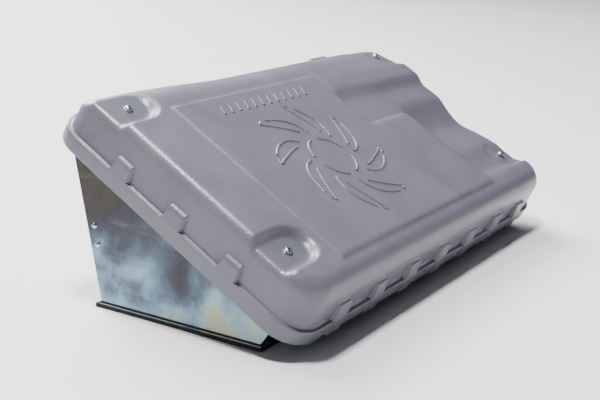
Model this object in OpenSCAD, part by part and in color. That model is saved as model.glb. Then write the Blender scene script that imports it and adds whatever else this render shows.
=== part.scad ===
/* [Cover] */
// Width of the cover across its skirt
cover_w = 720; // [716:1:730]
// Depth of the cover along its slope
cover_d = 410; // [408:1:420]
// Slope of the cover
slope = 30; // [29.5:0.5:30.5]
// Height of the skirt above the rim
skirt_h = 20; // [16:1:22]
// Height of the flat main surface above the rim
top_h = 78; // [76:1:80]
// Height of the screw seats above the rim
seat_h = 68; // [67:0.5:69]
// Thickness of the moulded wall
wall = 3.5; // [3:0.5:4]

/* [Case] */
// Width over the two side panels
case_w = 680; // [676:1:682]
// Depth of the case at its base
base_d = 240; // [238:1:242]
// Thickness of the sheet steel
sheet = 1.2; // [1:0.1:1.5]
// Radius of the four mounting holes
bolt_r = 4.5; // [3.5:0.5:5.5]

/* [Blower] */
// Radius of the two blower wheels
wheel_r = 48; // [44:1:49]
// Blades on each wheel
blades = 30; // [20:1:36]
// Radius of the blower shaft
shaft_r = 4; // [3.5:0.5:4]

/* [Coils] */
// Radius of the copper tubes in the cooling coil
tube_r = 4.75; // [4:0.25:5]
// Distance between fins
fin_pitch = 8; // [6:1:14]

/* [Hidden] */
$fn = 48;
eps = 0.01;

// The rim is the lower edge of the skirt. Its centre lies over the middle of the base.
rim_y = 5;
rim_z = 118;
// A place in the side view: s runs up the slope from the rim's centre, n stands square to it.
function at(s, n) = [rim_y + s * cos(slope) - n * sin(slope), rim_z + s * sin(slope) + n * cos(slope)];
function arc(cx, cy, r, from, to, steps = 8) =
    [for (i = [0:steps]) let (a = from + (to - from) * i / steps) [cx + r * cos(a), cy + r * sin(a)]];

seal_h = 5;
plate_top = seal_h + sheet;
panel_z = plate_top + 2.8;
panel_top = 40;
back_s = 182;
front_s = -165;
flange_w = 15;
inner_x = case_w / 2 - sheet;
half_d = base_d / 2;

screw_x = 311;
screw_s = [-123, 145];
screw_r = 2.5;
bracket_w = 28;
bracket_top = 61.5;
bracket_t = 1.5;

rivet_r = 1.6;
back_rivets = [[128.6, 105.3], [123.7, 81.8]];

coil_s = -82;
coil_n = -5;
coil_half = 44;
row_gap = 22;
coil_half_x = 276;
plate_x = 278.8;
tube_end = plate_x + 3.2;
heater_n = 32;
pipe_x = 308;
hose_r = 7.95;
valve_low = 22;
valve_top = 48;
stub_low = 1;

blower_y = 68;
blower_z = 128;
cut_r = wheel_r + 6;
spread = 16;
tongue_y = -20;
scroll_in = 88;
scroll_out = 186;
motor_r = 36;
motor_half = 48;
fit = 0.05;

// Places a shape drawn on the cover: x across, y up the slope, z square to it
module on_slope() { translate([0, rim_y, rim_z]) rotate([slope, 0, 0]) children(); }
// Extrudes a side view (y, z) by t along x, from x
module across(x, t) { translate([x, 0, 0]) rotate([90, 0, 90]) linear_extrude(t) children(); }
// Turns z along the blower's shaft, from x
module on_shaft(x) { translate([x, blower_y, blower_z]) rotate([0, 90, 0]) children(); }
// A copy on each side of the middle
module both_sides() { children(); mirror([1, 0, 0]) children(); }
// A round rod from p to q
module rod(p, q, r) {
    v = q - p;
    translate(p) rotate([0, acos(v.z / norm(v)), atan2(v.y, v.x)]) cylinder(r = r, h = norm(v), $fn = 24);
}
module ring(r_out, r_in, h) {
    difference() {
        cylinder(r = r_out, h = h);
        translate([0, 0, -1]) cylinder(r = r_in, h = h + 2);
    }
}

// ---- Moulded cover -------------------------------------------------------------------------

// A block with rounded corners that draws in from its foot to its top
module tapered(w, d, r_low, draw, r_high, low, high) {
    hull() for (x = [-1, 1], y = [-1, 1]) {
        translate([x * (w / 2 - r_low), y * (d / 2 - r_low), low]) cylinder(r = r_low, h = eps, $fn = 32);
        translate([x * (w / 2 - draw - r_high), y * (d / 2 - draw - r_high), high])
            cylinder(r = r_high, h = eps, $fn = 32);
    }
}

back_round = [for (a = [90:-10:0]) [128 + 72 * cos(a), 26 + 52 * sin(a)]];
profile_left = concat([[-201, 0]], arc(-173, top_h - 28, 28, 180, 90), back_round, [[201, 0]]);
profile_middle = concat([[-201, 0]], arc(-173, 48, 28, 180, 90),
    [[22, 77], [56, 77], [70, 80], [87, 84], [103, 84], [126, 79]], back_round, [[201, 0]]);
profile_right = concat([[-201, 0]], arc(-173, 48, 28, 180, 90),
    [[-156, 78], [-142, 71], [-120, 69.5], [-95, 71.5], [-60, 66], [-30, 60.5], [-5, 65],
     [22, 74], [56, 75], [70, 79], [87, 83.5], [103, 83.5], [126, 78]], back_round, [[201, 0]]);

// The cover's upper mass: the side walls draw in, and the top follows the three side views
module crown(inset) {
    intersection() {
        tapered(cover_w - 10 - 2 * inset, cover_d - 8 - 2 * inset, 28 - inset, 6, 40 - inset, -1, 88);
        translate([0, 0, -inset]) {
            across(-cover_w / 2, cover_w / 2 + 80) polygon(profile_left);
            across(80, 100) polygon(profile_middle);
            across(180, cover_w / 2 - 180) polygon(profile_right);
        }
    }
}
module seat_pockets(grow) {
    for (side = [-1, 1], s = screw_s)
        hull() for (x = [308, 400]) {
            translate([side * x, s, seat_h - grow]) cylinder(r = 20 + grow, h = eps, $fn = 32);
            translate([side * x, s, seat_h + 16]) cylinder(r = 42 + grow, h = eps, $fn = 32);
        }
}
module skirt(inset, low, high) {
    tapered(cover_w - 2 * inset, cover_d - 2 * inset, 30 - inset, 0, 30 - inset, low, high);
}
module ribs() {
    for (side = [-1, 1], s = [-90, 0, 90])
        translate([side * (cover_w / 2 - 9) - 9, s - 14, 0]) cube([18, 28, 41]);
    for (i = [-3:3])
        translate([i * 90 - 15, -cover_d / 2 - 1.5, -2]) cube([30, 14, 45]);
    for (x = [-150, 234])
        translate([x - 31, cover_d / 2 - 16, 0]) cube([62, 16, 34]);
}
module cover() {
    color("darkgray") on_slope() difference() {
        union() {
            skirt(0, 0, skirt_h);
            ribs();
            difference() {
                union() {
                    crown(0);
                    translate([-257, -165, 60]) cube([327, 287, top_h + 2.5 - 60]);
                }
                seat_pockets(0);
            }
        }
        skirt(wall, -3, skirt_h - wall);
        difference() {
            crown(wall);
            seat_pockets(wall);
        }
        for (side = [-1, 1], s = screw_s)
            translate([side * screw_x, s, 40]) cylinder(r = 3.2, h = 60);
    }
}
module cover_screws() {
    color("silver") on_slope() for (side = [-1, 1], s = screw_s)
        translate([side * screw_x, s, seat_h]) {
            translate([0, 0, -18]) cylinder(r = screw_r, h = 20);
            translate([0, 0, 1.2]) difference() {
                intersection() {
                    cylinder(r = 4.7, h = 3.2);
                    translate([0, 0, -5.5]) sphere(r = 8.6);
                }
                for (a = [0, 90]) rotate([0, 0, a]) translate([-2.6, -0.5, 1.6]) cube([5.2, 1, 3]);
            }
        }
}
module screw_washers() {
    color("gainsboro") on_slope() for (side = [-1, 1], s = screw_s)
        translate([side * screw_x, s, seat_h]) ring(6, 2.7, 1.2);
}

// ---- Folded steel case ---------------------------------------------------------------------

side_outline = [[half_d, panel_z], at(back_s, 0), at(back_s, panel_top), at(front_s, panel_top),
    at(front_s, -8), [-half_d, panel_z]];

module frame_ring(x, y, width, z, h) {
    difference() {
        translate([-x, -y, z]) cube([2 * x, 2 * y, h]);
        translate([width - x, width - y, z - 1]) cube([2 * (x - width), 2 * (y - width), h + 2]);
    }
}
module base_seal() {
    color("#1b1b1d") {
        frame_ring(case_w / 2 + 2, half_d + 2, 22, 0, seal_h);
        translate([-case_w / 2 - 2, half_d + 2, 0]) cube([20, 7, seal_h]);
    }
}
bolt_x = 305;
bolt_y = 95;
inlet_x = 268;
module base_plate() {
    color("lightsteelblue") difference() {
        translate([-case_w / 2 - 1, -half_d - 1, seal_h]) cube([case_w + 2, base_d + 2, sheet]);
        translate([-inlet_x, -66, 0]) cube([2 * inlet_x, 52, 10]);
        for (x = [-scroll_out + 2, scroll_in + 2])
            translate([x, blower_y - cut_r - spread, 0]) cube([scroll_out - scroll_in - 4, 50, 10]);
        for (x = [-323, 290]) translate([x, -84, 0]) cube([33, 68, 10]);
        for (x = [-1, 1], y = [-1, 1]) translate([x * bolt_x, y * bolt_y, 0]) cylinder(r = bolt_r, h = 10);
        for (x = [-1, 1]) translate([x * 250, -91, 0]) cylinder(r = 12, h = 10);
        scroll_holes(2.2);
    }
}
module panel_seal() {
    color("#232326") frame_ring(case_w / 2 + 0.5, half_d + 0.5, 15, plate_top, panel_z - plate_top);
}
module side_panel() {
    difference() {
        union() {
            across(inner_x, sheet) polygon(side_outline);
            translate([case_w / 2 - flange_w, -half_d + sheet, panel_z])
                cube([flange_w, base_d - 2 * sheet, sheet]);
            on_slope() translate([case_w / 2 - flange_w, -105, panel_top - sheet]) cube([flange_w, 232, sheet]);
        }
        rivet_holes();
    }
}
module rivet_places() {
    for (p = back_rivets) translate([case_w / 2, p.x, p.y]) rotate([0, -90, 0]) children();
    on_slope() for (s = screw_s, ds = [-8, 8])
        translate([case_w / 2, s + ds, 22]) rotate([0, -90, 0]) children();
    on_slope() for (n = [-2, 26])
        translate([case_w / 2, -157, n]) rotate([0, -90, 0]) children();
}
module rivet_holes() { rivet_places() translate([0, 0, -1]) cylinder(r = rivet_r + 0.1, h = 8); }
module side_panel_right() { color("slategray") side_panel(); }
module side_panel_left() { color("slategray") mirror([1, 0, 0]) side_panel(); }
module case_rivets() {
    color("silver") both_sides() rivet_places() {
        translate([0, 0, -1.5]) difference() {
            translate([0, 0, 2.6]) sphere(r = 4.2);
            translate([-6, -6, 1.5]) cube(12);
            cylinder(r = 0.9, h = 3, center = true);
        }
        cylinder(r = rivet_r, h = 3);
        translate([0, 0, 2 * sheet + 0.4]) cylinder(r = 2.2, h = 2.6);
    }
}
module back_wall() {
    color("lightslategray") difference() {
        union() {
            across(-inner_x, 2 * inner_x) polygon([[half_d, panel_z], at(back_s, 0), at(back_s, panel_top),
                at(back_s - sheet, panel_top), at(back_s - sheet, 0), [half_d - sheet, panel_z]]);
            translate([-322, half_d - 15, panel_z]) cube([644, 14, sheet]);
            both_sides() across(inner_x - sheet, sheet) polygon([[half_d - 19, panel_z + sheet],
                [half_d - 0.3, panel_z + sheet], at(back_s - 0.3, 0), at(back_s - 0.3, panel_top - 2),
                at(back_s - 18, panel_top - 2), at(back_s - 18, 0)]);
        }
        both_sides() rivet_holes();
    }
}
module front_wall() {
    color("lightslategray") difference() {
        union() {
            across(-inner_x, 2 * inner_x) polygon([[-half_d, panel_z], at(front_s, -8), at(front_s, panel_top),
                at(front_s + sheet, panel_top), at(front_s + sheet, -8), [-half_d + sheet, panel_z]]);
            translate([-322, -half_d + 1, panel_z]) cube([644, 14, sheet]);
            both_sides() across(inner_x - sheet, sheet) polygon([[-half_d + 15, panel_z + sheet],
                [-half_d + 0.3, panel_z + sheet], at(front_s + 0.3, -8), at(front_s + 0.3, panel_top - 2),
                at(front_s + 15, panel_top - 2), at(front_s + 15, -8)]);
        }
        both_sides() rivet_holes();
    }
}
module bracket(s) {
    difference() {
        on_slope() translate([0, s - bracket_w / 2, 0]) {
            translate([inner_x - bracket_t, 0, 10]) cube([bracket_t, bracket_w, bracket_top - 10]);
            translate([screw_x - 15, 0, bracket_top - bracket_t])
                cube([inner_x - screw_x + 15, bracket_w, bracket_t]);
        }
        rivet_holes();
        on_slope() translate([screw_x, s, 50]) cylinder(r = 3, h = 20);
    }
}
module corner_brackets() { color("silver") both_sides() for (s = screw_s) bracket(s); }
module clip_nuts() {
    color("dimgray") both_sides() on_slope() for (s = screw_s) translate([screw_x, s, bracket_top])
        difference() {
            union() {
                translate([-16, -7, 0]) cube([24, 14, 1]);
                translate([-16, -7, -bracket_t - 1]) cube([24, 14, 1]);
                translate([-16, -7, -bracket_t - 1]) cube([1, 14, bracket_t + 2]);
                translate([0, 0, -bracket_t - 4]) cylinder(r = 4.6, h = 3.5);
            }
            translate([0, 0, -10]) cylinder(r = screw_r + 0.3, h = 14);
        }
}
module partition() {
    color("lightgray") difference() {
        union() {
            translate([-322, -9, plate_top]) cube([644, 1, 72]);
            translate([-322, -8, plate_top]) cube([644, 1.5, 1]);
        }
        translate([-300, -12, 60]) rotate([-90, 0, 0]) cylinder(r = 8, h = 6);
    }
}

// ---- Cooling coil and heater core ----------------------------------------------------------

// Where the eight tubes of the cooling coil run, in the order that the coolant passes them
tube_places = [for (i = [0:7]) let (k = i < 4 ? i : 7 - i)
    [coil_s + 33 - k * row_gap, coil_n + (i < 4 ? -row_gap / 2 : row_gap / 2)]];
heater_places = [for (i = [0:3]) [coil_s + 33 - i * row_gap, heater_n]];

module fin_pack(n_low, n_high) {
    on_slope() for (x = [-coil_half_x + 4:fin_pitch:coil_half_x - 4])
        translate([x - 0.25, coil_s - coil_half, n_low]) cube([0.5, 2 * coil_half, n_high - n_low]);
}
module tube_run(places, r) {
    on_slope() for (p = places)
        translate([-tube_end, p.x, p.y]) rotate([0, 90, 0]) cylinder(r = r, h = 2 * tube_end, $fn = 24);
}
module cooling_fins() { color("gainsboro") fin_pack(coil_n - 22, coil_n + 22); }
module cooling_tubes() { color("peru") tube_run(tube_places, tube_r); }
module return_bend(p, q) {
    middle = (p + q) / 2;
    angle = atan2(q.y - p.y, q.x - p.x);
    on_slope() translate([tube_end, middle.x, middle.y]) rotate([angle, 0, 0]) rotate([0, 0, -90])
        rotate_extrude(angle = 180, $fn = 48) translate([row_gap / 2, 0]) circle(r = tube_r, $fn = 24);
}
module return_bends() {
    color("chocolate") {
        for (i = [1, 3, 5]) return_bend(tube_places[i], tube_places[i + 1]);
        mirror([1, 0, 0]) for (i = [0, 2, 4, 6]) return_bend(tube_places[i], tube_places[i + 1]);
    }
}
module coil_end_plates() {
    color("lightgray") both_sides() difference() {
        union() {
            across(plate_x, sheet) polygon([at(-128, 46), at(-128, -29), [-74, plate_top], [-16, plate_top],
                at(-36, -29), at(-36, 46)]);
            translate([plate_x - 12, -72, plate_top]) cube([12.5, 52, sheet]);
        }
        on_slope() for (p = concat(tube_places, heater_places))
            translate([plate_x - 2, p.x, p.y]) rotate([0, 90, 0]) cylinder(r = tube_r + 0.1, h = 6);
    }
}
module heater_fins() { color("silver") fin_pack(heater_n - 10, heater_n + 10); }
module heater_tubes() {
    color("peru") on_slope() for (p = heater_places)
        translate([-plate_x - sheet, p.x, p.y]) rotate([0, 90, 0])
            cylinder(r = tube_r, h = 2 * (plate_x + sheet), $fn = 24);
}
tank_x = plate_x + sheet;
module heater_tanks() {
    color("#3a3a3c") both_sides() on_slope()
        translate([tank_x, coil_s - coil_half + 2, heater_n - 11]) cube([10, 2 * coil_half - 4, 22]);
}
// A pipe that leaves sideways at x, turns down and ends at low
module drop_pipe(x, y, z, r, low) {
    bend = pipe_x - x;
    translate([x, y, z - bend]) rotate([90, 0, 0])
        rotate_extrude(angle = 90, $fn = 48) translate([bend, 0]) circle(r = r, $fn = 32);
    translate([pipe_x, y, low]) cylinder(r = r, h = z - bend - low, $fn = 32);
}
module heater_pipes() {
    color("peru") mirror([1, 0, 0]) for (s = [-44, -72]) {
        p = at(s, heater_n);
        drop_pipe(tank_x + 10, p.x, p.y, hose_r, stub_low);
    }
}
module coil_pipes() {
    color("peru") for (i = [0, 7]) {
        p = at(tube_places[i].x, tube_places[i].y);
        drop_pipe(tube_end, p.x, p.y, tube_r, valve_top);
    }
}
module expansion_valve() {
    color("silver") difference() {
        translate([296, -74, valve_low]) cube([24, 58, valve_top - valve_low]);
        translate([pipe_x, -50, valve_low - 1]) cylinder(r = 3, h = 10);
    }
}
module valve_head() {
    color("goldenrod") translate([320, -45, (valve_low + valve_top) / 2]) rotate([0, 90, 0]) {
        cylinder(r = 7, h = 4);
        translate([0, 0, 4]) cylinder(r = 12, h = 5);
    }
}
module suction_pipe() {
    color("peru") translate([pipe_x, -62, stub_low]) cylinder(r = hose_r, h = valve_low - stub_low);
}
module liquid_pipe() {
    color("peru") translate([pipe_x, -29, stub_low]) cylinder(r = tube_r, h = valve_low - stub_low);
}
module drain_pan() {
    color("#2a2a2c") difference() {
        union() {
            difference() {
                translate([-276, -112, 12]) cube([552, 42, 18]);
                translate([-274, -110, 14]) cube([548, 38, 20]);
            }
            for (x = [-210, 0, 210]) translate([x - 2, -102, plate_top]) cube([4, 28, 14 - plate_top]);
            for (x = [-250, 250]) translate([x, -91, stub_low]) cylinder(r = 7, h = 13 - stub_low);
        }
        for (x = [-250, 250]) translate([x, -91, 0]) cylinder(r = 5, h = 20);
    }
}

// ---- Blower --------------------------------------------------------------------------------

duct_floor = plate_top - blower_z;
function scroll_outline(g, low) = concat(
    [for (a = [0:10:270]) let (r = cut_r + g + spread * a / 270) [r * sin(a), -r * cos(a)]],
    [[-cut_r - spread - g, low], [tongue_y + g, low],
     [tongue_y + g, -sqrt(pow(cut_r + g, 2) - pow(tongue_y + g, 2))]]);

module scroll_holes(r) {
    for (x = [-190, -84, 84, 190], y = [14, 40]) translate([x, y, 2]) cylinder(r = r, h = 9, $fn = 24);
}
module scroll() {
    difference() {
        union() {
            translate([0, blower_y, blower_z]) across(scroll_in, scroll_out - scroll_in)
                polygon(scroll_outline(2, duct_floor));
            translate([scroll_in - 10, -6, plate_top]) cube([scroll_out - scroll_in + 20, 62, 2]);
        }
        translate([0, blower_y, blower_z]) across(scroll_in + 2, scroll_out - scroll_in - 4)
            polygon(scroll_outline(0, duct_floor - 2));
        on_shaft(scroll_in - 1) cylinder(r = 12, h = 5);
        on_shaft(scroll_out - 5) cylinder(r = wheel_r - 7, h = 10);
        scroll_holes(2.2);
    }
    on_shaft(scroll_out - 12) ring(wheel_r - 5, wheel_r - 7, 12);
}
module scroll_right() { color("#303033") scroll(); }
module scroll_left() { color("#303033") mirror([1, 0, 0]) scroll(); }
module scroll_screws() {
    color("silver") for (x = [-190, -84, 84, 190], y = [14, 40]) translate([x, y, 0]) {
        translate([0, 0, 2]) cylinder(r = 2, h = 8, $fn = 24);
        translate([0, 0, plate_top + 2]) cylinder(r = 3.8, h = 2.6, $fn = 6);
    }
}
module motor_can() {
    color("#45474a") on_shaft(-motor_half) difference() {
        cylinder(r = motor_r, h = 2 * motor_half);
        translate([0, 0, 2]) cylinder(r = motor_r - 2, h = 2 * motor_half - 4);
        translate([0, 0, -1]) cylinder(r = 8, h = 2 * motor_half + 2);
        for (a = [0:60:300], z = [-1, 2 * motor_half - 2])
            rotate([0, 0, a]) translate([24, 0, z]) cylinder(r = 4, h = 4, $fn = 24);
    }
}
module motor_magnets() {
    color("#2b2b2b") for (a = [20, 200]) on_shaft(-30) rotate([0, 0, a])
        rotate_extrude(angle = 140) translate([motor_r - 8, 0]) square([6, 56]);
}
module motor_bearings() {
    color("darkgoldenrod") both_sides() on_shaft(motor_half - 7) ring(8, shaft_r + fit, 9);
}
module motor_stand() {
    color("lightgray") {
        translate([-46, 40, plate_top]) cube([92, 56, 2]);
        both_sides() across(38, 2) difference() {
            polygon([[42, plate_top + 2], [94, plate_top + 2], [94, blower_z - 6], [42, blower_z - 6]]);
            translate([blower_y, blower_z]) circle(r = motor_r);
        }
    }
}
module motor_strap() {
    color("silver") {
        on_shaft(-10) ring(motor_r + 1.2, motor_r, 20);
        translate([-8, blower_y - 2, blower_z + motor_r + 1]) cube([16, 4, 9]);
    }
}
module blower_shaft() { color("silver") on_shaft(-178) cylinder(r = shaft_r, h = 356); }
module armature() {
    color("sienna") on_shaft(-28) difference() {
        union() {
            cylinder(r = motor_r - 9, h = 46);
            translate([0, 0, 46]) cylinder(r = 12, h = 14);
        }
        translate([0, 0, -1]) cylinder(r = shaft_r, h = 70);
        for (a = [0:30:330]) rotate([0, 0, a]) translate([motor_r - 14, -1.5, -1]) cube([8, 3, 48]);
    }
}
// Each wheel is a disc on a hub, strips crimped into it as blades, and a ring on their other ends
module disc() {
    on_shaft(94) difference() {
        union() {
            cylinder(r = wheel_r, h = 2);
            cylinder(r = 11, h = 20);
        }
        translate([0, 0, -1]) cylinder(r = shaft_r, h = 30);
    }
}
module blade_set() {
    on_shaft(96) for (i = [0:blades - 1]) rotate([0, 0, i * 360 / blades])
        translate([wheel_r - 9.5, 0, 0]) rotate([0, 0, 32]) cube([9.5, 1, 72]);
}
module wheel_right() { color("#1f1f22") disc(); }
module wheel_left() { color("#1f1f22") mirror([1, 0, 0]) disc(); }
module blades_right() { color("#2a2a2e") blade_set(); }
module blades_left() { color("#2a2a2e") mirror([1, 0, 0]) blade_set(); }
module wheel_rings() { color("#1f1f22") both_sides() on_shaft(168) ring(wheel_r, wheel_r - 10, 2); }
module hub_screws() {
    color("silver") both_sides() translate([108, blower_y, blower_z + 8]) cylinder(r = 3, h = 6, $fn = 24);
}

// ---- Electrical pieces ---------------------------------------------------------------------

module resistor_board() {
    color("beige") {
        translate([215, -8, 22]) cube([60, 4, 44]);
        for (z = [32, 44, 56]) translate([222, 1, z]) rotate([0, 90, 0]) cylinder(r = 5, h = 46, $fn = 24);
    }
}
module wire_connector() {
    color("#26262a") translate([289, -8, 24]) difference() {
        cube([30, 24, 26]);
        for (x = [3, 12, 21], z = [4, 15]) translate([x, 10, z]) cube([6, 20, 7]);
    }
}
module thermostat() {
    color("ivory") translate([-272, -8, 26]) {
        cube([50, 28, 34]);
        translate([25, 28, 17]) rotate([-90, 0, 0]) cylinder(r = 5, h = 8, $fn = 24);
    }
}
module frost_probe() {
    tip = at(coil_s + 16, coil_n);
    door = at(coil_s + coil_half + 6, coil_n);
    path = [[-248, 2, 60], [-248, 2, door.y], [-248, door.x, door.y], [-248, tip.x, tip.y]];
    color("peru") {
        for (i = [0:2]) rod(path[i], path[i + 1], 1.2);
        for (i = [1:2]) translate(path[i] - [2, 2, 2]) cube(4);
    }
}

cover();
cover_screws();
screw_washers();
base_seal();
base_plate();
panel_seal();
side_panel_left();
side_panel_right();
back_wall();
front_wall();
corner_brackets();
clip_nuts();
case_rivets();
partition();
cooling_fins();
cooling_tubes();
return_bends();
coil_end_plates();
heater_fins();
heater_tubes();
heater_tanks();
heater_pipes();
coil_pipes();
expansion_valve();
valve_head();
suction_pipe();
liquid_pipe();
drain_pan();
scroll_left();
scroll_right();
scroll_screws();
motor_can();
motor_magnets();
motor_bearings();
motor_stand();
motor_strap();
resistor_board();
wire_connector();
thermostat();
frost_probe();
blower_shaft();
armature();
wheel_left();
wheel_right();
blades_left();
blades_right();
wheel_rings();
hub_screws();
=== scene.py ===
import bpy
import math
import numpy as np
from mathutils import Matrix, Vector


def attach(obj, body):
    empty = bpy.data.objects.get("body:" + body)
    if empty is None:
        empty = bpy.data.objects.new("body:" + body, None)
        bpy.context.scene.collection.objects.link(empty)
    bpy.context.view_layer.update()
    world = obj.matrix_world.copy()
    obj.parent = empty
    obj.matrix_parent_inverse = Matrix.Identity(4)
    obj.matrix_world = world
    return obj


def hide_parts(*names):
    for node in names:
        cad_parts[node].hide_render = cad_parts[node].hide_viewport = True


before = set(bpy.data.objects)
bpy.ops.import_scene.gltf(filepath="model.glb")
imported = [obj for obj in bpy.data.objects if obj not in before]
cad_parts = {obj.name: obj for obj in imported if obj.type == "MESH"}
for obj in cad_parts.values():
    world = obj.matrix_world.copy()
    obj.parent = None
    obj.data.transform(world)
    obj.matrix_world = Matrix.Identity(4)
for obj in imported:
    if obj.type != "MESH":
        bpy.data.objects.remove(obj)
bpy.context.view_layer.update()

MM = 0.001


def deselect():
    """Leaves edit mode, and nothing stays selected."""
    if bpy.context.object and bpy.context.object.mode != "OBJECT":
        bpy.ops.object.mode_set(mode="OBJECT")
    bpy.ops.object.select_all(action="DESELECT")


def pick(obj):
    """Makes obj the only selected object and the active one."""
    deselect()
    obj.select_set(True)
    bpy.context.view_layer.objects.active = obj


# ---- Camera ---------------------------------------------------------------------------------
# A fairly long lens, about 1.6 m away, looks down on the unit from beyond its left front corner.
# The camera leans very slightly to one side.
deselect()
bpy.ops.object.camera_add(location=(-1.306, -0.770, 0.499),
                          rotation=[math.radians(a) for a in (74.693, -1.443, -57.675)])
camera = bpy.context.object
camera.data.lens = 66
camera.data.sensor_width = 36
bpy.context.scene.camera = camera

# ---- Floor and light ------------------------------------------------------------------------
# A plain pale sweep. A small lamp hangs over the left side, wide ones stand above and behind, and a
# faint one at the left. No lamp stands at the right front, so the cover's front rounding turns dark.


def linear(hex_colour):
    """An sRGB hex colour as the linear RGBA that a shader socket takes."""
    out = []
    for i in (1, 3, 5):
        c = int(hex_colour[i:i + 2], 16) / 255
        out.append(c / 12.92 if c <= 0.04045 else ((c + 0.055) / 1.055) ** 2.4)
    return (*out, 1.0)


def node(tree, kind, links, **settings):
    """Adds a node. links gives its inputs by name or number: a value, or another node's output."""
    made = tree.nodes.new(kind)
    for key, value in settings.items():
        setattr(made, key, value)
    for key, value in links.items():
        if isinstance(value, bpy.types.NodeSocket):
            tree.links.new(value, made.inputs[key])
        else:
            made.inputs[key].default_value = value
    return made


def surface(name, base, other, rough, blotch_mm, grain_mm, depth_mm, metallic=0.0, stretch=(1, 1, 1), **more):
    """A finish that drifts between two colours and two roughnesses in patches, and has a fine grain.
    more gives other inputs of the shader by name. Returns the material, its node tree, its shader, and
    the outputs that a finish with more to it builds on."""
    mat = bpy.data.materials.new(name)
    mat.use_nodes = True
    tree = mat.node_tree
    shader = tree.nodes["Principled BSDF"]
    shader.inputs["Metallic"].default_value = metallic
    for key, value in more.items():
        shader.inputs[key].default_value = value
    place = node(tree, "ShaderNodeTexCoord", {}).outputs["Object"]
    drawn = node(tree, "ShaderNodeMapping", {"Vector": place, "Scale": stretch}).outputs[0]
    patches = node(tree, "ShaderNodeTexNoise", {"Vector": place, "Scale": 1 / (blotch_mm * MM), "Detail": 4.0,
                                                "Roughness": 0.6, "Distortion": 0.6}).outputs["Fac"]
    fine = node(tree, "ShaderNodeTexNoise", {"Vector": drawn, "Scale": 1 / (grain_mm * MM),
                                             "Detail": 2.0}).outputs["Fac"]
    drift = node(tree, "ShaderNodeMapRange", {0: patches, 1: 0.3, 2: 0.7}).outputs[0]
    colour = node(tree, "ShaderNodeMix", {0: drift, 6: linear(base), 7: linear(other)},
                  data_type="RGBA").outputs[2]
    both = node(tree, "ShaderNodeMath", {0: fine, 1: 0.35, 2: patches}, operation="MULTIPLY_ADD").outputs[0]
    sheen = node(tree, "ShaderNodeMapRange", {0: both, 1: 0.35, 2: 1.0, 3: rough[0],
                                              4: rough[1]}).outputs[0]
    grain = node(tree, "ShaderNodeBump", {"Height": fine, "Distance": depth_mm * MM,
                                          "Strength": 1.0}).outputs[0]
    tree.links.new(colour, shader.inputs["Base Color"])
    tree.links.new(sheen, shader.inputs["Roughness"])
    tree.links.new(grain, shader.inputs["Normal"])
    return mat, tree, shader, {"place": place, "colour": colour, "grain": grain}


bpy.ops.mesh.primitive_plane_add(size=30, location=(0, 0, 0))
floor = bpy.context.object
floor.name = "floor"
# Matt paper: near white, with no highlight
paper = surface("matt_white_paper_sweep", "#e9e9e9", "#e6e6e6", (0.85, 0.95), 200, 0.4, 0.01)[0]
floor.data.materials.append(paper)

for name, place, size, watts, tint in (
        ("key_over_left", (-0.62, -0.05, 2.2), 0.34, 84, (0.97, 0.97, 1.0)),
        ("wide_above", (0.3, 1.6, 2.6), 2.0, 108, (1.0, 0.985, 0.99)),
        ("wide_behind", (1.7, 4.2, 3.0), 3.8, 760, (1.0, 0.97, 0.985)),
        ("soft_left", (-2.9, 1.0, 1.2), 2.0, 8, (0.97, 0.97, 1.0))):
    bpy.ops.object.light_add(type="AREA", location=place)
    lamp = bpy.context.object
    lamp.name = name
    lamp.data.size = size
    lamp.data.energy = watts
    lamp.data.color = tint
    lamp.rotation_euler = (Vector((0, 0, 0.12)) - Vector(place)).to_track_quat("-Z", "Y").to_euler()
sky = bpy.data.worlds.new("studio")
sky.use_nodes = True
glow = sky.node_tree.nodes["Background"].inputs
glow["Color"].default_value = (0.92, 0.93, 1.0, 1)
glow["Strength"].default_value = 0.12
bpy.context.scene.world = sky

# ---- Moulded cover --------------------------------------------------------------------------
# One sheet of grey ABS, vacuum-formed over a mould: soft edges, a raised panel, four screw
# seats and a skirt with ribs. It is laid out flat, as it comes off the mould, then tilted.
RIM = (0, 5 * MM, 118 * MM)
SLOPE = math.radians(30)
HALF_W, HALF_D = 351.5, 199.5        # where the crown's edge rounding ends and its walls start, in mm
CORNER = 38                          # plan radius of the crown's corners
TOP, SEAT = 78.0, 68.0               # main level and the screw seats' floors, above the rim
PANEL_RISE = 2.6
SEAT_X, SEAT_FRONT, SEAT_BACK = 311, -123, 145
SEATS = [(x, y) for x in (-SEAT_X, SEAT_X) for y in (SEAT_FRONT, SEAT_BACK)]
RIB_PITCH = 90
RIBS_SIDE = tuple(RIB_PITCH * i for i in range(-1, 2))
RIBS_FRONT = tuple(RIB_PITCH * i for i in range(-3, 4))
BUMPS_BACK = (-150, 234)


def ease(v, low, high):
    """0 below low, 1 above high, smooth between."""
    t = np.clip((v - low) / (high - low), 0, 1)
    return t * t * (3 - 2 * t)


def seat_mask(x, y):
    """1 on a screw seat's floor, 0 outside its sloping wall. A seat opens to the side."""
    mask = np.zeros_like(x)
    for sx, sy in SEATS:
        inward = np.maximum(0, 306 - np.abs(x))
        dist = np.hypot(inward * 0.85, y - sy) + 1000 * (np.sign(x) != np.sign(sx))
        mask = np.maximum(mask, 1 - ease(dist, 21, 32))
    return mask


def through(v, *points):
    """A smooth line through points (place, height)."""
    px, pz = np.array(points, dtype=float).T
    lean = np.gradient(pz, px)
    i = np.clip(np.searchsorted(px, v) - 1, 0, len(px) - 2)
    h = px[i + 1] - px[i]
    t = np.clip((v - px[i]) / h, 0, 1)
    return (pz[i] * (2 * t ** 3 - 3 * t ** 2 + 1) + lean[i] * h * (t ** 3 - 2 * t ** 2 + t)
            + pz[i + 1] * (3 * t ** 2 - 2 * t ** 3) + lean[i + 1] * h * (t ** 3 - t ** 2))


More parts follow.
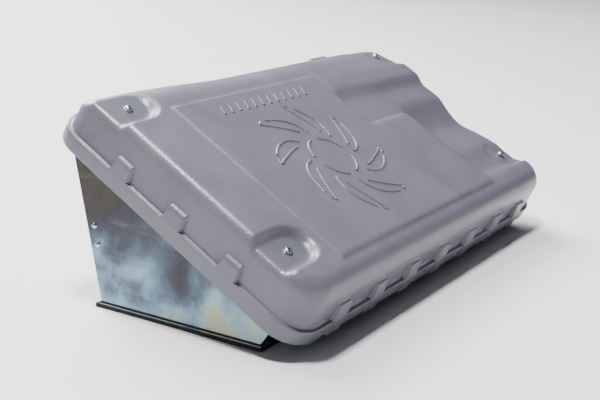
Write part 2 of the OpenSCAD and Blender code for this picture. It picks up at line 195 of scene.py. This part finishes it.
def crown_height(x, y):
    """Height of the moulding's top above the rim, before its edges are rounded, in mm."""
    # Main level, then the hump across the right of the back and the level in front of it
    mid = 74.6 + 0.3 * ease(x, 200, 335)
    hump = 81.6 + 2.2 * ease(x, 80, 190)
    slope_foot = 64 - 8 * ease(x, 90, 220)
    behind = mid + (hump - mid) * ease(y, slope_foot, slope_foot + 25) - (hump - TOP) * ease(y, 101, 142)
    z = TOP + (behind - TOP) * ease(x, 68, 82) * ease(y, 0, 8)
    # Valley down the right side
    valley = through(y, (-205, 78), (-172, 78), (-157, 77.5), (-142, 71), (-120, 70), (-95, 71.5),
                     (-60, 66), (-30, 60.5), (-5, 65), (24, 74.5), (48, 75))
    valley = valley + 4.5 * ease(x, 230, 335) * ease(-y, 138, 156)
    z = z + (valley - z) * ease(x, 180, 208) * (1 - ease(y, 26, 46))
    # The raised panel, and the lower part that it runs on into at its right
    panel = (ease(x, -262.5, -255.5) * (1 - ease(x, 66, 74))
             * ease(y, -167, -163.5) * (1 - ease(y, 120.5, 124)))
    annex = ease(x, 60, 76) * (1 - ease(x, 176, 188)) * ease(y, -167, -163.5) * (1 - ease(y, 7, 12))
    z = z + PANEL_RISE * np.maximum(panel, annex)
    # The back falls away in a wide round, a little fuller towards the left
    falls_from = 128
    t = np.clip((y - falls_from) / (HALF_D - falls_from), 0, 1)
    power = 2.9 - 0.88 * ease(x, -270, -70)
    z = z - 52 * (1 - (1 - 0.998 * t ** power) ** (1 / power))
    # The right side rolls off a little, and the back about twice as far
    corner = ease(np.hypot(np.maximum(0, x - 235) / 100, np.maximum(0, y - 112) / 80), 0.3, 1.2)
    z = z - 6.5 * corner * (1 + ease(y, 104, 120))
    return np.where(z > SEAT, z + (SEAT - z) * seat_mask(x, y), z)


def lines(half, round_low, round_high, step, edges):
    """Places of the grid's lines: close in the edge rounding and at every feature's edge."""
    arc = [1 - math.cos(math.radians(a)) for a in (0, 8, 18, 30, 42, 54, 66, 78)]
    close = {-half + round_low * b for b in arc} | {half - round_high * b for b in arc}
    close = sorted(close | set(edges))
    out = [close[0]]
    for a, b in zip(close, close[1:]):
        n = max(1, round((b - a) / step))
        out += [a + (b - a) * i / n for i in range(1, n + 1)]
    return [v for i, v in enumerate(out) if i == 0 or v - out[i - 1] > 0.3]


rib_lines = (-16.6, -15.4, -14.2, -13.2, 13.2, 14.2, 15.4, 16.6)
seat_lines = (-34, -31.5, -29, -26.5, -24, -21, -16, 16, 21, 24, 26.5, 29, 31.5, 34)
xs = lines(HALF_W, 14, 14, 5.2, [p + w for p in RIBS_FRONT for w in rib_lines]
           + [p + w for p in BUMPS_BACK for w in (-34, -26, 26, 34)]
           + [-262.5, -260.2, -257.8, -255.5, 66, 74, 178, 188]
           + [side * p for side in (-1, 1) for p in (267, 271, 275, 279, 283, 289, 297)])
ys = lines(HALF_D, 28, 6, 4.8, [p + w for p in RIBS_SIDE for w in rib_lines]
           + [p + w for p in (SEAT_FRONT, SEAT_BACK) for w in seat_lines]
           + [-167, -165.2, -163.5, 120.5, 122.2, 124, 7, 9.5, 12])

deselect()
bpy.ops.mesh.primitive_grid_add(x_subdivisions=len(xs) - 1, y_subdivisions=len(ys) - 1, size=2)
cover = bpy.context.object
cover.name = "cover_moulding"
# Heights of the rings down the wall, then each ring of the ledge and skirt below it: how far out
# towards the skirt it lies, and its height
WALL = (55, 51, 47.5, 45, 43.6, 42.6, 41.6, 40.2, 38.8, 37.4, 33, 28, 24, 22.2, 21.1, 20.5)
FOOT = ((0.4, 20.0), (0.86, 20.0), (0.97, 19.5), (1, 18.6), (1, 12), (1, 6), (1, 1.3), (0.95, 0.3),
        (0.85, 0))
bpy.ops.object.mode_set(mode="EDIT")
bpy.ops.mesh.select_all(action="DESELECT")
bpy.ops.mesh.select_non_manifold()
for _ in WALL + FOOT:
    bpy.ops.mesh.extrude_region_move(TRANSFORM_OT_translate={"value": (0, 0, -1)})
bpy.ops.object.mode_set(mode="OBJECT")

verts = np.empty(len(cover.data.vertices) * 3)
cover.data.vertices.foreach_get("co", verts)
verts = verts.reshape(-1, 3)
ring = np.rint(-verts[:, 2]).astype(int)
x = np.interp(verts[:, 0], np.linspace(-1, 1, len(xs)), xs)
y = np.interp(verts[:, 1], np.linspace(-1, 1, len(ys)), ys)
# The outline's corners are rounded: each square ring of a corner becomes an arc
a = (np.abs(x) - (HALF_W - CORNER)) / CORNER
b = (np.abs(y) - (HALF_D - CORNER)) / CORNER
cornered = (a > 0) & (b > 0)
out = np.maximum(a, b)
far = np.hypot(a, b) + 1e-9
na, nb = np.where(cornered, a / far, a >= b), np.where(cornered, b / far, a < b)
x = np.where(cornered, np.sign(x) * (HALF_W - CORNER + na * out * CORNER), x)
y = np.where(cornered, np.sign(y) * (HALF_D - CORNER + nb * out * CORNER), y)
inside = np.where(cornered, CORNER * (1 - out), np.minimum(HALF_W - np.abs(x), HALF_D - np.abs(y)))
inside = np.maximum(inside, 0)
out_x, out_y = np.sign(x) * na, np.sign(y) * nb
front = (out_y < -0.9).astype(float)
side = (np.abs(out_x) > 0.9).astype(float)
back = (out_y > 0.9).astype(float)
y = y + 1.5 * ease(-y, 150, HALF_D)    # the ledge is wider along the front

# The edge is rounded more along the front, and less where the back has already fallen away
radius = 15 + 12 * ease(-y, 140, 190) * (1 - 0.1 * ease(x, 200, 330)) - 9 * ease(y, 150, 190)
radius = np.clip(radius - 4 * seat_mask(x, y), 5, 28)
s = np.clip((radius - inside) / radius, 0, 1)
top = crown_height(x, y)
z = top - radius * (1 - np.sqrt(1 - s * s))
start = top - radius
swell = np.zeros_like(x)
for p in BUMPS_BACK:
    swell = np.maximum(swell, 1 - ease(np.abs(x - p), 24, 34))
swell = swell * back
z = np.where(ring == 0, z + np.maximum(0, 35 - z) * swell * ease(y, 186, 192), z)
start = start + np.maximum(0, 35 - start) * swell

# Below the edge, each ring has its own height and its own distance from the outline
skirt = np.hypot(out_x * 8.5, out_y * np.where(out_y < 0, 7.0, 5.5))
steep = 0.045 + 0.042 * np.abs(out_x)
along = np.where(front > 0, x, y)
centre = np.rint(along / RIB_PITCH) * RIB_PITCH
centre = np.where(front > 0, np.clip(centre, RIBS_FRONT[0], RIBS_FRONT[-1]),
                  np.clip(centre, RIBS_SIDE[0], RIBS_SIDE[-1]))
off_centre = np.abs(along - centre)
on_rib = (1 - np.clip((off_centre - 14.2) / 1.2, 0, 1)) * np.maximum(front, side)
near_rib = (1 - ease(off_centre, 18, 32)) * np.maximum(front, side)
for k in range(1, len(WALL + FOOT) + 1):
    here = ring == k
    draft = np.maximum(0, start - 20) * steep
    if k <= len(WALL):
        level = np.minimum(WALL[k - 1], start - 0.35 * k)
        level = np.maximum(level, 20.1 + 0.02 * (len(WALL) - k))
        off = np.maximum(0, start - level) * steep + 1.3 * np.clip((22.5 - level) / 2.2, 0, 1) ** 2
        off = off + (skirt - off) * swell * np.clip((37 - level) / 4, 0, 1)
    else:
        share, level = FOOT[k - 1 - len(WALL)]
        level = level + np.zeros_like(x)
        off = draft + 1.3 + (skirt - draft - 1.3) * share
    rise = np.where(front > 0, np.clip((43.6 - level) / 2, 0, 1), np.clip((42.6 - level) / 4.4, 0, 1))
    proud = skirt + 1.5 * front - np.maximum(0, level - 20) * (0.06 * side + 0.18 * front)
    off = off + np.maximum(0, proud - off) * on_rib * rise
    level = level - 1.8 * front * on_rib * (level < 1.5)
    lean = 1 - np.where(front > 0, 0.16, 0.22) * np.clip((level - 20) / 24, 0, 1) * near_rib
    moved = centre + (along - centre) * lean
    z = np.where(here, level, z)
    x = np.where(here, np.where(front > 0, moved, x) + out_x * off, x)
    y = np.where(here, np.where(side > 0, moved, y) + out_y * off, y)
cover.data.vertices.foreach_set("co", (np.stack([x, y, z], axis=1) * MM).ravel())
cover.data.update()

pick(cover)
sheet = cover.modifiers.new("sheet", "SOLIDIFY")
sheet.thickness = 3.2 * MM
sheet.offset = -1
bpy.ops.object.modifier_apply(modifier="sheet")
bpy.ops.object.shade_smooth()


def tilt(obj):
    """Takes a piece drawn on the flat cover to its place on the slope."""
    pick(obj)
    obj.rotation_euler = (SLOPE, 0, 0)
    obj.location = RIM
    bpy.ops.object.transform_apply(location=True, rotation=True, scale=True)


def finish(obj, mat, body, slot, *nodes):
    """Gives a finished piece its material and, if it stands for nodes, hides those and attaches it to its
    body. slot is not used.
    """
    obj.data.materials.clear()
    obj.data.materials.append(mat)
    if nodes:
        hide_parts(*nodes)
        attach(obj, body)


# The mould's air hole leaves a small pip on the front edge's rounding
PIP_X, PIP_Y = -280 * MM, -186 * MM
pip_z = max(v.co.z for v in cover.data.vertices if math.hypot(v.co.x - PIP_X, v.co.y - PIP_Y) < 7 * MM)
deselect()
bpy.ops.mesh.primitive_uv_sphere_add(segments=16, ring_count=10, radius=2.1 * MM,
                                     location=(PIP_X, PIP_Y, pip_z))
vent_pip = bpy.context.object
vent_pip.name = "vent_pip"
bpy.ops.object.shade_smooth()
tilt(vent_pip)
tilt(cover)
# Vacuum-formed ABS: satin, with the mould's fine blasted grain, a slow ripple in the sheet and an
# uneven sheen where hands have rubbed it
abs_grey, tree, shader, made = surface("vacuum_formed_abs_grey", "#605f69", "#686773", (0.25, 0.40), 80,
                                       1.5, 0.17, IOR=1.53)
slow = node(tree, "ShaderNodeTexNoise", {"Vector": made["place"], "Scale": 1 / (38 * MM),
                                         "Detail": 1.0}).outputs[0]
coarse = node(tree, "ShaderNodeTexVoronoi", {"Vector": made["place"], "Scale": 1 / (3.0 * MM)},
              feature="SMOOTH_F1").outputs["Distance"]
leather = node(tree, "ShaderNodeBump", {"Height": coarse, "Distance": 0.22 * MM, "Strength": 0.8,
                                        "Normal": made["grain"]}).outputs[0]
ripple = node(tree, "ShaderNodeBump", {"Height": slow, "Distance": 0.7 * MM, "Strength": 0.4,
                                       "Normal": leather}).outputs[0]
tree.links.new(ripple, shader.inputs["Normal"])
# Painted shade: the colour is darkened towards a near-black grey in the corners around the ribs, under the
# lip and in the seats, wherever the ambient occlusion node finds the surface hemmed in
corners = node(tree, "ShaderNodeAmbientOcclusion", {"Distance": 13 * MM}, samples=8).outputs["AO"]
corner_shade_amount = node(tree, "ShaderNodeMapRange", {0: corners, 1: 0.35, 2: 0.9, 3: 0.55, 4: 0.0}).outputs[0]
painted_corner_shade = node(tree, "ShaderNodeMix", {0: corner_shade_amount, 6: made["colour"], 7: linear("#2b292d")},
              data_type="RGBA").outputs[2]
tree.links.new(painted_corner_shade, shader.inputs["Base Color"])
finish(cover, abs_grey, "cover", "cover_plastic", "cover")
finish(vent_pip, abs_grey, "cover", "cover_plastic")
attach(vent_pip, "cover")

# ---- Raised sign on the cover ---------------------------------------------------------------
# The mould raises a plain fan wheel of eight blades and a row of slanting bars on the panel, as
# rounded strokes that stand nearly 2 mm proud of it.
FAN_BLADES = 8
strokes = []
for k in range(FAN_BLADES):
    one, two = [], []
    for i in range(11):
        t = i / 10
        r = 50 + 56 * t
        mid = 2 * math.pi * k / FAN_BLADES + 0.62 * t
        half = (3 + 9 * math.sin(math.pi * min(1, t * 0.92 + 0.04))) / r
        one.append((r * math.cos(mid + half), r * math.sin(mid + half)))
        two.append((r * math.cos(mid - half), r * math.sin(mid - half)))
    strokes += [one[1:], two[:-1], [one[-1], two[-1]]]
for k in range(4):
    turn = [math.pi * k / 2 + 0.25 + 0.11 * i for i in range(11)]
    strokes.append([(36 * math.cos(t), 36 * math.sin(t)) for t in turn])
strokes = [[(px - 85, py - 27) for px, py in line] for line in strokes]
strokes += [[(-188 + 17.5 * i, 89), (-181 + 17.5 * i, 104)] for i in range(12)]
curve = bpy.data.curves.new("raised_sign", "CURVE")
curve.dimensions = "3D"
curve.bevel_depth = 2.3 * MM
curve.bevel_resolution = 2
curve.use_fill_caps = True
for line in strokes:
    path = curve.splines.new("POLY")
    path.points.add(len(line) - 1)
    for point, (px, py) in zip(path.points, line):
        point.co = (px * MM, py * MM, 80.0 * MM, 1)
sign = bpy.data.objects.new("cover_sign", curve)
bpy.context.scene.collection.objects.link(sign)
pick(sign)
bpy.ops.object.convert(target="MESH")
bpy.ops.object.shade_smooth()
tilt(sign)
finish(sign, abs_grey, "cover", "cover_plastic")
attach(sign, "cover")

# ---- Cover screws and washers ---------------------------------------------------------------
# Zinc-plated M5 pan-head screws with a cross recess, driven through plain washers on the seats.
# One is made at the flat cover's centre, moved to a seat and copied to the other three.
# Bright zinc on turned steel: smooth and bluish white, with a sharp highlight
bright_zinc = surface("bright_zinc_on_turned_steel", "#aab6c8", "#c3c9cf", (0.18, 0.36), 4, 0.5, 0.01,
                      metallic=1.0)[0]
deselect()
bpy.ops.mesh.primitive_cylinder_add(vertices=32, radius=4.7 * MM, depth=1.4 * MM, location=(0, 0, 1.9 * MM))
screws = bpy.context.object
screws.name = "cover_screws_pan_head"
bpy.ops.object.mode_set(mode="EDIT")
bpy.ops.mesh.select_all(action="DESELECT")
bpy.ops.object.mode_set(mode="OBJECT")
for face in screws.data.polygons:
    face.select = face.normal.z > 0.9
bpy.ops.object.mode_set(mode="EDIT")
for thick, rise in ((0.45, 0.75), (0.8, 0.6), (1.2, 0.35), (1.2, 0.1)):
    bpy.ops.mesh.inset(thickness=thick * MM)
    bpy.ops.transform.translate(value=(0, 0, rise * MM))
bpy.ops.object.mode_set(mode="OBJECT")
for long_x, long_y in ((4.8, 1.0), (1.0, 4.8)):
    bpy.ops.mesh.primitive_cube_add(size=1, location=(0, 0, 4.2 * MM))
    cutter = bpy.context.object
    cutter.scale = (long_x * MM, long_y * MM, 3 * MM)
    pick(screws)
    cut = screws.modifiers.new("recess", "BOOLEAN")
    cut.object = cutter
    cut.operation = "DIFFERENCE"
    bpy.ops.object.modifier_apply(modifier="recess")
    bpy.data.objects.remove(cutter)
deselect()
bpy.ops.mesh.primitive_cylinder_add(vertices=24, radius=2.45 * MM, depth=18.8 * MM,
                                    location=(0, 0, -8.4 * MM))
screws.select_set(True)
bpy.context.view_layer.objects.active = screws
bpy.ops.object.join()
edge = screws.modifiers.new("edge", "BEVEL")
edge.width = 0.12 * MM
edge.limit_method = "ANGLE"
edge.angle_limit = math.radians(50)
bpy.ops.object.modifier_apply(modifier="edge")
bpy.ops.object.transform_apply(location=True, rotation=True, scale=True)
bpy.ops.object.mode_set(mode="EDIT")
bpy.ops.mesh.select_all(action="SELECT")
bpy.ops.transform.translate(value=(-SEAT_X * MM, SEAT_FRONT * MM, SEAT * MM))
seat_gap = SEAT_BACK - SEAT_FRONT
for step_x, step_y in ((0, seat_gap), (2 * SEAT_X, 0), (0, -seat_gap)):
    bpy.ops.mesh.duplicate()
    bpy.ops.transform.translate(value=(step_x * MM, step_y * MM, 0))
bpy.ops.object.mode_set(mode="OBJECT")
bpy.ops.object.shade_smooth_by_angle(angle=math.radians(32))
tilt(screws)
finish(screws, bright_zinc, "cover", "bright_zinc", "cover_screws")


def softened(name, width_mm, mat, body, slot, *nodes, segments=2, angle=34):
    """A merged copy of CAD nodes with its sharp edges broken, as the real piece's are."""
    copies = []
    for n in nodes:
        copy = bpy.data.objects.new(name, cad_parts[n].data.copy())
        bpy.context.scene.collection.objects.link(copy)
        copies.append(copy)
    deselect()
    for copy in copies:
        copy.select_set(True)
    bpy.context.view_layer.objects.active = copies[0]
    if len(copies) > 1:
        bpy.ops.object.join()
    obj = bpy.context.object
    bpy.ops.object.mode_set(mode="EDIT")
    bpy.ops.mesh.select_all(action="SELECT")
    bpy.ops.mesh.remove_doubles(threshold=0.00001)
    bpy.ops.mesh.dissolve_limited(angle_limit=math.radians(0.5))
    bpy.ops.object.mode_set(mode="OBJECT")
    if width_mm:
        edge = obj.modifiers.new("edge", "BEVEL")
        edge.width = width_mm * MM
        edge.segments = segments
        edge.limit_method = "ANGLE"
        edge.angle_limit = math.radians(angle)
        bpy.ops.object.modifier_apply(modifier="edge")
    bpy.ops.object.shade_smooth_by_angle(angle=math.radians(angle))
    finish(obj, mat, body, slot, *nodes)
    return obj


softened("plain_washers", 0.25, bright_zinc, "cover", "bright_zinc", "screw_washers")

# ---- Folded steel case ----------------------------------------------------------------------
# Laser-cut sheet steel, folded, zinc plated and passivated: the film's thickness drifts, and its colour runs
# from olive and violet grey at the top through blue to straw near the base. The darkness at the top is
# painted shade under the cover's overhang, painted in with the film's hues.
zinc, tree, shader, made = surface("zinc_plate_iridescent_passivation_painted_shade", "#77798a", "#8d93a0", (0.26, 0.44),
                                   60, 3, 0.012, metallic=1.0, stretch=(1, 1, 0.15))
place = made["place"]
film = node(tree, "ShaderNodeTexNoise", {"Vector": place, "Scale": 1 / (72 * MM), "Detail": 4.5,
                                         "Roughness": 0.52, "Distortion": 0.25}).outputs[0]
above_base = node(tree, "ShaderNodeSeparateXYZ", {0: place}).outputs["Z"]
# Painted shade: the higher up the case, the thinner the film is read and the darker the ramp colours it, for
# the cover's overhang
film_runs_and_painted_shade = node(tree, "ShaderNodeMapRange", {0: above_base, 1: 0.20, 2: 0.01, 3: -0.26, 4: 0.25}).outputs[0]
thick = node(tree, "ShaderNodeMath", {0: film, 1: 1.1, 2: film_runs_and_painted_shade}, operation="MULTIPLY_ADD").outputs[0]
hue = node(tree, "ShaderNodeValToRGB", {0: thick})
# The stops are darker than bare plating: painted shade and painted dark reflection under the cover
stops = ((0.18, "#31302b"), (0.31, "#403e36"), (0.44, "#39373a"), (0.57, "#3e4047"), (0.69, "#4e5a65"),
         (0.80, "#6d8695"), (0.90, "#879991"), (1.0, "#958f68"))
while len(hue.color_ramp.elements) < len(stops):
    hue.color_ramp.elements.new(0.5)
for element, (where, colour) in zip(hue.color_ramp.elements, stops):
    element.position = where
    element.color = linear(colour)
streaks = node(tree, "ShaderNodeMapping", {"Vector": place, "Rotation": (0.7, 0, 0),
                                           "Scale": (1, 1, 5)}).outputs[0]
wiped = node(tree, "ShaderNodeTexNoise", {"Vector": streaks, "Scale": 1 / (70 * MM), "Detail": 6.0,
                                          "Roughness": 0.65}).outputs[0]
mark = node(tree, "ShaderNodeMapRange", {0: wiped, 1: 0.55, 2: 0.78, 3: 0.0, 4: 0.14}).outputs[0]
plated = node(tree, "ShaderNodeMix", {0: mark, 6: hue.outputs[0], 7: linear("#a9adb2")},
              data_type="RGBA").outputs[2]
tree.links.new(plated, shader.inputs["Base Color"])
for name in ("side_panel_left", "side_panel_right", "back_wall", "front_wall", "base_plate", "partition",
             "coil_end_plates"):
    finish(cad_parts[name], zinc, "case", "zinc_steel")
softened("motor_stand_folded", 0.4, zinc, "case", "zinc_steel", "motor_stand")
softened("motor_strap_band", 0.3, zinc, "case", "zinc_steel", "motor_strap")
finish(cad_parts["case_rivets"], bright_zinc, "case", "bright_zinc")
softened("corner_brackets_folded", 0.35, bright_zinc, "case", "bright_zinc", "corner_brackets")
# Phosphated spring steel: dark grey with a soft sheen
spring = surface("phosphated_spring_steel", "#343437", "#4a4a4c", (0.35, 0.5), 6, 0.6, 0.01,
                 metallic=0.9)[0]
softened("clip_nuts_sprung", 0.15, spring, "case", "spring_steel", "clip_nuts")

# ---- Foam seals -----------------------------------------------------------------------------
# Black closed-cell foam strip glued under the base, and a thin strip between plate and panels.
# Both are matt, with small open pores.
foam, tree, shader, made = surface("black_closed_cell_foam", "#141416", "#1d1d20", (0.8, 0.98), 25, 0.7,
                                   0.08)
cells = node(tree, "ShaderNodeTexVoronoi", {"Vector": made["place"],
                                            "Scale": 1 / (1.1 * MM)}).outputs["Distance"]
pores = node(tree, "ShaderNodeBump", {"Height": cells, "Distance": 0.25 * MM,
                                      "Normal": made["grain"]}).outputs[0]
tree.links.new(pores, shader.inputs["Normal"])
softened("base_seal_strip", 1.0, foam, "case", "foam", "base_seal", segments=3)
finish(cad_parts["panel_seal"], foam, "case", "foam")

# ---- Coils ----------------------------------------------------------------------------------
# Aluminium fins on drawn copper tubes: the cooling coil low down, the heater core above it. The
# fins stand about 2.5 mm apart, between zinc-plated end plates.
FINS, FIN_PITCH, FIN_THICK, FIN_DEEP = 218, 2.506, 0.25, 88
# Mill-finish fin stock: pale, with faint upright lines
fin_metal = surface("rolled_aluminium_fin_stock", "#b9bcc0", "#cfd0d2", (0.25, 0.42), 30, 0.8, 0.01,
                    metallic=1.0, stretch=(1, 1, 0.2))[0]
for name, node_name, low, high in (("cooling_fin_pack", "cooling_fins", -27, 17),
                                   ("heater_fin_pack", "heater_fins", 22, 42)):
    deselect()
    bpy.ops.mesh.primitive_cube_add(size=1, location=(-272 * MM, -82 * MM, (low + high) / 2 * MM))
    fins = bpy.context.object
    fins.name = name
    fins.scale = (FIN_THICK * MM, FIN_DEEP * MM, (high - low) * MM)
    bpy.ops.object.transform_apply(location=True, rotation=True, scale=True)
    row = fins.modifiers.new("row", "ARRAY")
    row.count = FINS
    row.use_relative_offset = False
    row.use_constant_offset = True
    row.constant_offset_displace = (FIN_PITCH * MM, 0, 0)
    bpy.ops.object.modifier_apply(modifier="row")
    tilt(fins)
    finish(fins, fin_metal, "case", "fin_aluminium", node_name)
# Copper, drawn and brazed: tarnished in patches
copper = surface("drawn_copper_tarnished", "#b0654a", "#8d4a36", (0.22, 0.42), 18, 0.9, 0.01,
                 metallic=1.0, stretch=(0.2, 1, 1))[0]
softened("copper_tubing", 0, copper, "case", "copper", "cooling_tubes", "return_bends", "heater_tubes",
         "heater_pipes", "coil_pipes", "suction_pipe", "liquid_pipe", "frost_probe")
# Moulded black plastic: satin, with a fine grain
black = surface("black_moulded_plastic_fine_grain", "#19191c", "#222226", (0.36, 0.55), 40, 0.8, 0.05,
                IOR=1.5)[0]
softened("heater_tanks_moulded", 2.5, black, "case", "black_plastic", "heater_tanks", segments=3)
softened("drain_pan_moulded", 0.8, black, "case", "black_plastic", "drain_pan")
# Extruded aluminium: pale grey and slightly rough
cast = surface("extruded_aluminium_block", "#a3a5a8", "#b9babc", (0.3, 0.5), 12, 0.6, 0.02, metallic=1.0)[0]
softened("expansion_valve_block", 1.2, cast, "case", "fin_aluminium", "expansion_valve")
# Turned brass: warm yellow and smooth
brass = surface("turned_brass", "#b08a45", "#8f6c35", (0.2, 0.4), 8, 0.4, 0.01, metallic=1.0)[0]
softened("valve_head_capsule", 0.9, brass, "case", "brass", "valve_head", segments=3)

# ---- Blower ---------------------------------------------------------------------------------
# A double-ended motor drives two steel wheels with forward-curved blades inside moulded scrolls.
# The wheels, the shaft and the armature turn as one body.
softened("scroll_left_moulded", 0.8, black, "case", "black_plastic", "scroll_left")
softened("scroll_right_moulded", 0.8, black, "case", "black_plastic", "scroll_right")
softened("scroll_screws_hex", 0.35, bright_zinc, "case", "bright_zinc", "scroll_screws")
# Stoved black paint: half gloss, with a slight unevenness
coated = surface("black_stoved_motor_paint", "#1b1c1f", "#26272b", (0.28, 0.42), 30, 2.2, 0.05, IOR=1.5)[0]
softened("motor_can_drawn", 2.2, coated, "case", "motor_steel", "motor_can", segments=3)
finish(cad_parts["motor_magnets"], coated, "case", "motor_steel")
finish(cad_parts["motor_bearings"], brass, "case", "brass")
# Ground steel: bright, with fine lines round the shaft
ground = surface("ground_shaft_steel", "#a6a8ab", "#8e9093", (0.15, 0.28), 10, 0.5, 0.004, metallic=1.0,
                 stretch=(3, 0.3, 0.3))[0]
softened("blower_shaft_ground", 0.4, ground, "rotor", "shaft_steel", "blower_shaft")
# Dip varnish over steel laminations: dark brown, dull
laminated = surface("lamination_stack_dip_varnish", "#5b3d2c", "#473024", (0.35, 0.55), 10, 0.7, 0.04)[0]
finish(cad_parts["armature"], laminated, "rotor", "motor_steel")
# Electro-coat on steel sheet: thin and black, with a soft sheen
coat = surface("black_electro_coated_sheet", "#202023", "#2a2a2e", (0.25, 0.42), 20, 1.2, 0.02, IOR=1.5)[0]
softened("wheel_discs", 0.35, coat, "rotor", "wheel_steel", "wheel_left", "wheel_right")
softened("wheel_rings_rolled", 0.5, coat, "rotor", "wheel_steel", "wheel_rings", segments=3)
softened("hub_screws_set", 0.4, bright_zinc, "rotor", "bright_zinc", "hub_screws")
AXIS = (0, 68 * MM, 128 * MM)
BLADES = 40
BLADE_MID_X, BLADE_LONG, BLADE_INNER_R, BLADE_DEEP = 132, 72, 38.3, 9.2
for name, node_name, sign_x in (("blades_left_curved", "blades_left", -1),
                                ("blades_right_curved", "blades_right", 1)):
    deselect()
    bpy.ops.mesh.primitive_grid_add(x_subdivisions=2, y_subdivisions=7, size=1)
    blades = bpy.context.object
    blades.name = name
    for v in blades.data.vertices:
        t = v.co.y + 0.5
        r = BLADE_INNER_R + BLADE_DEEP * t
        turn = 0.14 * math.sin(math.pi * t) + 0.12 * t
        v.co = (sign_x * (BLADE_MID_X + BLADE_LONG * v.co.x) * MM, AXIS[1] + r * math.cos(turn) * MM,
                AXIS[2] + r * math.sin(turn) * MM)
    strip = blades.modifiers.new("strip", "SOLIDIFY")
    strip.thickness = 0.7 * MM
    bpy.ops.object.modifier_apply(modifier="strip")
    bpy.ops.object.mode_set(mode="EDIT")
    bpy.ops.mesh.select_all(action="SELECT")
    bpy.ops.mesh.normals_make_consistent(inside=False)
    for _ in range(BLADES - 1):
        bpy.ops.mesh.duplicate()
        bpy.ops.transform.rotate(value=math.radians(360 / BLADES), orient_axis="X", center_override=AXIS)
    bpy.ops.object.mode_set(mode="OBJECT")
    bpy.ops.object.shade_smooth_by_angle(angle=math.radians(34))
    finish(blades, coat, "rotor", "wheel_steel", node_name)

# ---- Electrical pieces ----------------------------------------------------------------------
# A cement-coated resistor board with three coils of wound wire, a moulded connector and an ivory
# thermostat, all fixed inside the case.
# Cast cement: chalky and rough
cement = surface("cast_resistor_cement", "#b3aa98", "#a2988a", (0.75, 0.92), 9, 0.6, 0.08)[0]
softened("resistor_board_cast", 0.5, cement, "case", "ceramic", "resistor_board")
curve = bpy.data.curves.new("resistor_wire", "CURVE")
curve.dimensions = "3D"
curve.bevel_depth = 0.45 * MM
curve.bevel_resolution = 1
TURNS, PER_TURN, WIRE_PITCH, COIL_R = 16, 16, 2.6, 5.35
for level in (32, 44, 56):
    path = curve.splines.new("POLY")
    path.points.add(TURNS * PER_TURN)
    for i, point in enumerate(path.points):
        turn = 2 * math.pi * i / PER_TURN
        point.co = ((224 + WIRE_PITCH * i / PER_TURN) * MM, (1 + COIL_R * math.cos(turn)) * MM,
                    (level + COIL_R * math.sin(turn)) * MM, 1)
wire = bpy.data.objects.new("resistor_wire", curve)
bpy.context.scene.collection.objects.link(wire)
pick(wire)
bpy.ops.object.convert(target="MESH")
bpy.ops.object.shade_smooth()
finish(wire, ground, "case", "shaft_steel")
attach(wire, "case")
softened("wire_connector_moulded", 0.7, black, "case", "black_plastic", "wire_connector")
# Moulded ivory plastic: pale, half gloss
ivory = surface("ivory_moulded_plastic", "#cfc8b2", "#c4bca4", (0.32, 0.48), 20, 0.8, 0.03, IOR=1.5)[0]
softened("thermostat_housing", 1.4, ivory, "case", "ivory_plastic", "thermostat", segments=3)
